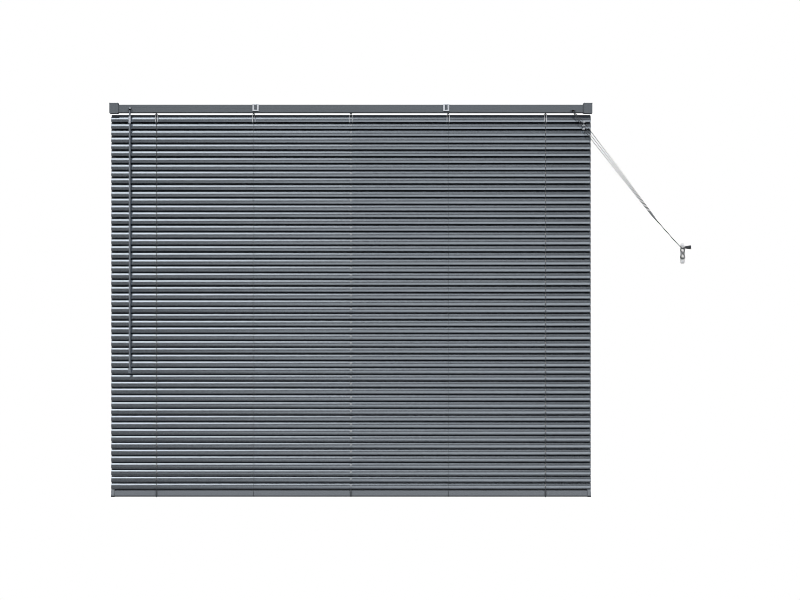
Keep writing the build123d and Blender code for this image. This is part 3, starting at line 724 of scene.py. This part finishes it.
stop_plastic = finish("moulded_stop_plastic", "#a9adb2", "#a0a4a9", 2.0 * mm, 0.35, relief=0.05)
stop_points = np.array([(771.0, -36.0, -46.7), (769.4, -36.0, -58.0), (768.8, -36.0, -70.0)]) * mm
bead_half = 3.2 * mm
bead_profile = np.array([
    [-1, 1.0], [-1, 2.6], [-0.8, 3.5], [-0.35, 4.1],
    [0.35, 4.1], [0.8, 3.5], [1, 2.6], [1, 1.0], [-1, 1.0],
]) * (bead_half, mm)
bead_around = 28
connector_mouth = np.array([992.0, -19.0, -343.8]) * mm
connector_axis = unit(np.array([1015.6, -17.0, -373.6]) * mm - connector_mouth)
cord_room = 0.3 * mm
mouth_spread = 2.6 * mm
mouth_run = 6.0 * mm
sideways = np.cross((0, 1, 0), connector_axis)
for number, (height, stop) in enumerate(zip(lift_heights, stop_points), 1):
    leave = np.array([lock_x, lock_mouth, height])
    turn_point = leave - np.array([0, mouth_run, 0])
    join = connector_mouth + sideways * ((number - 2) * mouth_spread) - connector_axis * cord_room
    run = unit(join - stop)
    past = stop + run * np.linalg.norm(stop - turn_point)
    route = np.array([leave, turn_point, stop, past, join])
    strand = limp_cord(f"pull_cord_strand_{number}", route, cord_radius)
    stand_in(strand, f"pull_strand_{number}")
    low, high = box_of(f"cord_stop_{number}")
    drop = unit(unit(stop - turn_point) + run)
    points, faces = turned(bead_profile, (low + high) / 2, drop, around=bead_around)
    bead_piece = shape(f"cord_stop_bead_{number}", points, faces, stop_plastic)
    stand_in(bead_piece, f"cord_stop_{number}")

# The connector tapers to its tail, with fine ribs round its grip.
joiner_plastic = finish("moulded_joiner_plastic", "#95989c", "#8d9094", 2.0 * mm, 0.4, relief=0.06)
connector_length = 34.0 * mm
mouth_profile = np.array([[0, 0], [0, 3.6], [0.6, 4.1]]) * mm
grip = np.linspace(0, 1, 9)
grip_start_share = 0.04
grip_length_share = 0.9
grip_radius = 4.15 * mm
grip_taper = 1.9 * mm
rib_height = 0.12 * mm
rib_radians = 50
tail_end_radius = 1.9 * mm
grip_profile = np.stack([connector_length * (grip_start_share + grip_length_share * grip),
                         grip_radius - grip_taper * grip + rib_height * np.cos(grip * rib_radians)], -1)
tail_profile = [[connector_length, tail_end_radius], [connector_length, 0]]
profile = np.concatenate([mouth_profile, grip_profile, tail_profile])
points, faces = turned(profile, connector_mouth, connector_axis)
stand_in(shape("cord_joiner", points, faces, joiner_plastic), "cord_connector")


# Cleat, winding and tassel
# A white moulded cleat is screwed to the wall with two posts. The spare cord is wound round them in
# a figure of eight, and ends in a dark bell-shaped tassel that lies to the right.
white_plastic = finish("moulded_white_plastic", "#fcfcfc", "#f6f6f6", 2.0 * mm, 0.35, relief=0.03)
softened("cord_cleat", white_plastic, 0.6 * mm)
dress(support_enamel, "cleat_screws")

dark_plastic = finish("moulded_black_plastic", "#3a3d41", "#34373b", 2.0 * mm, 0.4, relief=0.06)
low, high = box_of("cord_tassel")
tassel_start = np.array([low[0], (low[1] + high[1]) / 2, (low[2] + high[2]) / 2])
tassel_length = high[0] - low[0]
tassel_radius = (high - low)[2] / 2
tassel_neck = 3.0 * mm
tassel_wall = 1.2 * mm
hollow_share = 0.8
hollow_taper_share = 0.75
bell_power = 0.8
bell = np.linspace(0, 1, 12)
flare = np.sin(bell * np.pi / 2) ** bell_power
outer = np.stack([tassel_length * bell, tassel_neck + (tassel_radius - tassel_neck) * flare], -1)
inner = np.stack([tassel_length * (1 - hollow_share * bell),
                  (tassel_radius - tassel_wall) * (1 - hollow_taper_share * bell)], -1)
profile = [[0, 0], *outer.tolist(), *inner.tolist(), [tassel_length * (1 - hollow_share), 0]]
points, faces = turned(profile, tassel_start, (1, 0, 0))
tassel = stand_in(shape("tassel_bell", points, faces, dark_plastic), "cord_tassel")

pull_radius = 1.1 * mm
cleat_x = 1102.0 * mm
cleat_z = -481.4 * mm
cleat_face = -3.3 * mm
eight_rise = 17.2 * mm
eight_reach = 7.6 * mm
eight_step = 4.6 * mm
eight_turns = 2
eight_points = 24
approach_aside = 6.5 * mm
approach_rise = 3.0 * mm
tassel_lead = 3.0 * mm
turn = np.linspace(0, 2 * np.pi * eight_turns, eight_points * eight_turns + 1)
start_y = cleat_face - pull_radius
winding = np.stack([cleat_x + eight_reach * np.sin(2 * turn), start_y - eight_step * turn / (2 * np.pi),
                    cleat_z + eight_rise * np.cos(turn)], -1)
tail = connector_mouth + connector_axis * (connector_length + cord_room)
approach = np.array([cleat_x - approach_aside, start_y, cleat_z + eight_rise + approach_rise])
lead = tassel_start - np.array([tassel_lead, 0, 0])
route = np.concatenate([[tail, (tail + approach) / 2, approach], winding[1:], [lead, tassel_start]])
pull = limp_cord("pull_cord_wound", route, pull_radius)
stand_in(pull, "pull_cord", "cord_figure_eight")


# Studio
# A plain pale floor well below the blind and a white surround. Lamps a long way off at both sides
# light the paint. Two high ones left of the camera and two low ones right of it draw the lines
# along the slats.
floor_skin = finish("pale_floor", "#f2f2f2", "#eeeeee", 0.4, 0.6, relief=0.0)
floor_tree = floor_skin.node_tree
floor_path = add(floor_tree, "ShaderNodeLightPath").outputs
floor_seen = add(floor_tree, "ShaderNodeMath", {
    0: floor_path["Is Camera Ray"], 1: floor_path["Is Glossy Ray"]}, operation="MAXIMUM").outputs[0]
floor_glow_share = 0.7
floor_glow = add(floor_tree, "ShaderNodeEmission", {"Color": linear("#ececec"), "Strength": 1.0})
floor_dark = add(floor_tree, "ShaderNodeBsdfDiffuse", {"Color": linear("#303030")})
floor_half = add(floor_tree, "ShaderNodeMixShader", {
    0: floor_glow_share, 1: floor_tree.nodes["Principled BSDF"].outputs[0], 2: floor_glow.outputs[0]})
floor_mix = add(floor_tree, "ShaderNodeMixShader", {
    0: floor_seen, 1: floor_dark.outputs[0], 2: floor_half.outputs[0]})
floor_tree.links.new(floor_mix.outputs[0], floor_tree.nodes["Material Output"].inputs["Surface"])
floor_half_width = 6.0
floor_near = -9.0
floor_far = 3.5
floor_z = -2.2
points = np.array([[-floor_half_width, floor_near, floor_z], [floor_half_width, floor_near, floor_z],
                   [floor_half_width, floor_far, floor_z], [-floor_half_width, floor_far, floor_z]])
shape("floor", points, np.array([[0, 1, 2, 3]]), floor_skin)

# The surround is white to the camera. It lights the blind a little from the front, and hardly at
# all from behind, where light would leak between the slats.
world = bpy.data.worlds.new("white_surround")
bpy.context.scene.world = world
world.use_nodes = True
sky = world.node_tree
front_glow = 0.077
back_glow = 0.006
seen = add(sky, "ShaderNodeLightPath").outputs["Is Camera Ray"]
heading = add(sky, "ShaderNodeTexCoord").outputs["Generated"]
depth = add(sky, "ShaderNodeSeparateXYZ", {"Vector": heading}).outputs["Y"]
room = add(sky, "ShaderNodeMapRange", {"Value": depth, "From Min": -0.5, "From Max": 0.1,
                                       "To Min": front_glow, "To Max": back_glow}).outputs["Result"]
shown = sky.nodes["Background"]
shown.inputs["Color"].default_value = linear("#ffffff")
lit = add(sky, "ShaderNodeBackground", {"Color": linear("#ffffff"), "Strength": room})
mix = add(sky, "ShaderNodeMixShader", {0: seen, 1: lit.outputs[0], 2: shown.outputs[0]})
sky.links.new(mix.outputs[0], sky.nodes["World Output"].inputs["Surface"])


def far_lamp(name, azimuth, elevation, spread, power):
    """A soft lamp far off: its azimuth is right of the camera, its elevation above level, in degrees."""
    light = bpy.data.lights.new(name, "SUN")
    light.angle = math.radians(spread)
    light.energy = power
    holder = bpy.data.objects.new(name, light)
    bpy.context.collection.objects.link(holder)
    holder.rotation_euler = (math.radians(90 - elevation), 0, math.radians(azimuth))
    return holder


def linked(name, lamps, names, state):
    """Has lamps light only some pieces, or all but them. Each piece still casts its shadow."""
    group = bpy.data.collections.new(name)
    for piece_name in names:
        group.objects.link(bpy.data.objects[piece_name])
    for lamp in lamps:
        lamp.light_linking.receiver_collection = group
    for entry in group.collection_objects:
        entry.light_linking.link_state = state


side_lamps = [far_lamp("left_side", -62, 35, 25, 2.8), far_lamp("right_side", 62, 35, 25, 2.6)]
far_lamp("high_left", -14, 41, 14, 0.085)
far_lamp("high_middle", -3, 41, 14, 0.016)
far_lamp("low_middle", 4, 18, 16, 0.038)
far_lamp("low_right", 20, 18, 16, 0.08)

# Two weaker lamps light the paint at the back. They leave out the slats, whose backs mirror the floor.
back_lamps = [far_lamp("back_left", -132, 6, 25, 1.6), far_lamp("back_right", 132, 6, 25, 1.6)]
linked("kept_off_back_lamps", back_lamps, ["slat_set"], "EXCLUDE")

# The wand is lit from the front alone, so that the slats mirror its dark back beside it.
wand_names = ["wand_hanger_cup", "wand_collar", "wand_stick", "wand_end_cap"]
linked("kept_off_side_lamps", side_lamps, wand_names, "EXCLUDE")
linked("lit_by_wand_lamp", [far_lamp("wand_front", -20, 30, 12, 3.0)], wand_names, "INCLUDE")


# Camera
# Level with the middle of the blind and far off, as in a product picture. A narrow pixel filter
# keeps the lines between the slats crisp.
scene = bpy.context.scene
scene.view_settings.view_transform = "Standard"
scene.cycles.filter_width = 0.6
pixel = 3.319 * mm
image_width = 800
camera_far = 7.0
view_x = 162.6 * mm
view_z = -636.0 * mm
camera = bpy.data.cameras.new("camera")
camera.sensor_width = 36.0
camera.lens = camera.sensor_width * (camera_far + rail_y) / (image_width * pixel)
holder = bpy.data.objects.new("camera", camera)
bpy.context.collection.objects.link(holder)
holder.location = (view_x, -camera_far, view_z)
holder.rotation_euler = (math.pi / 2, 0, 0)
scene.camera = holder
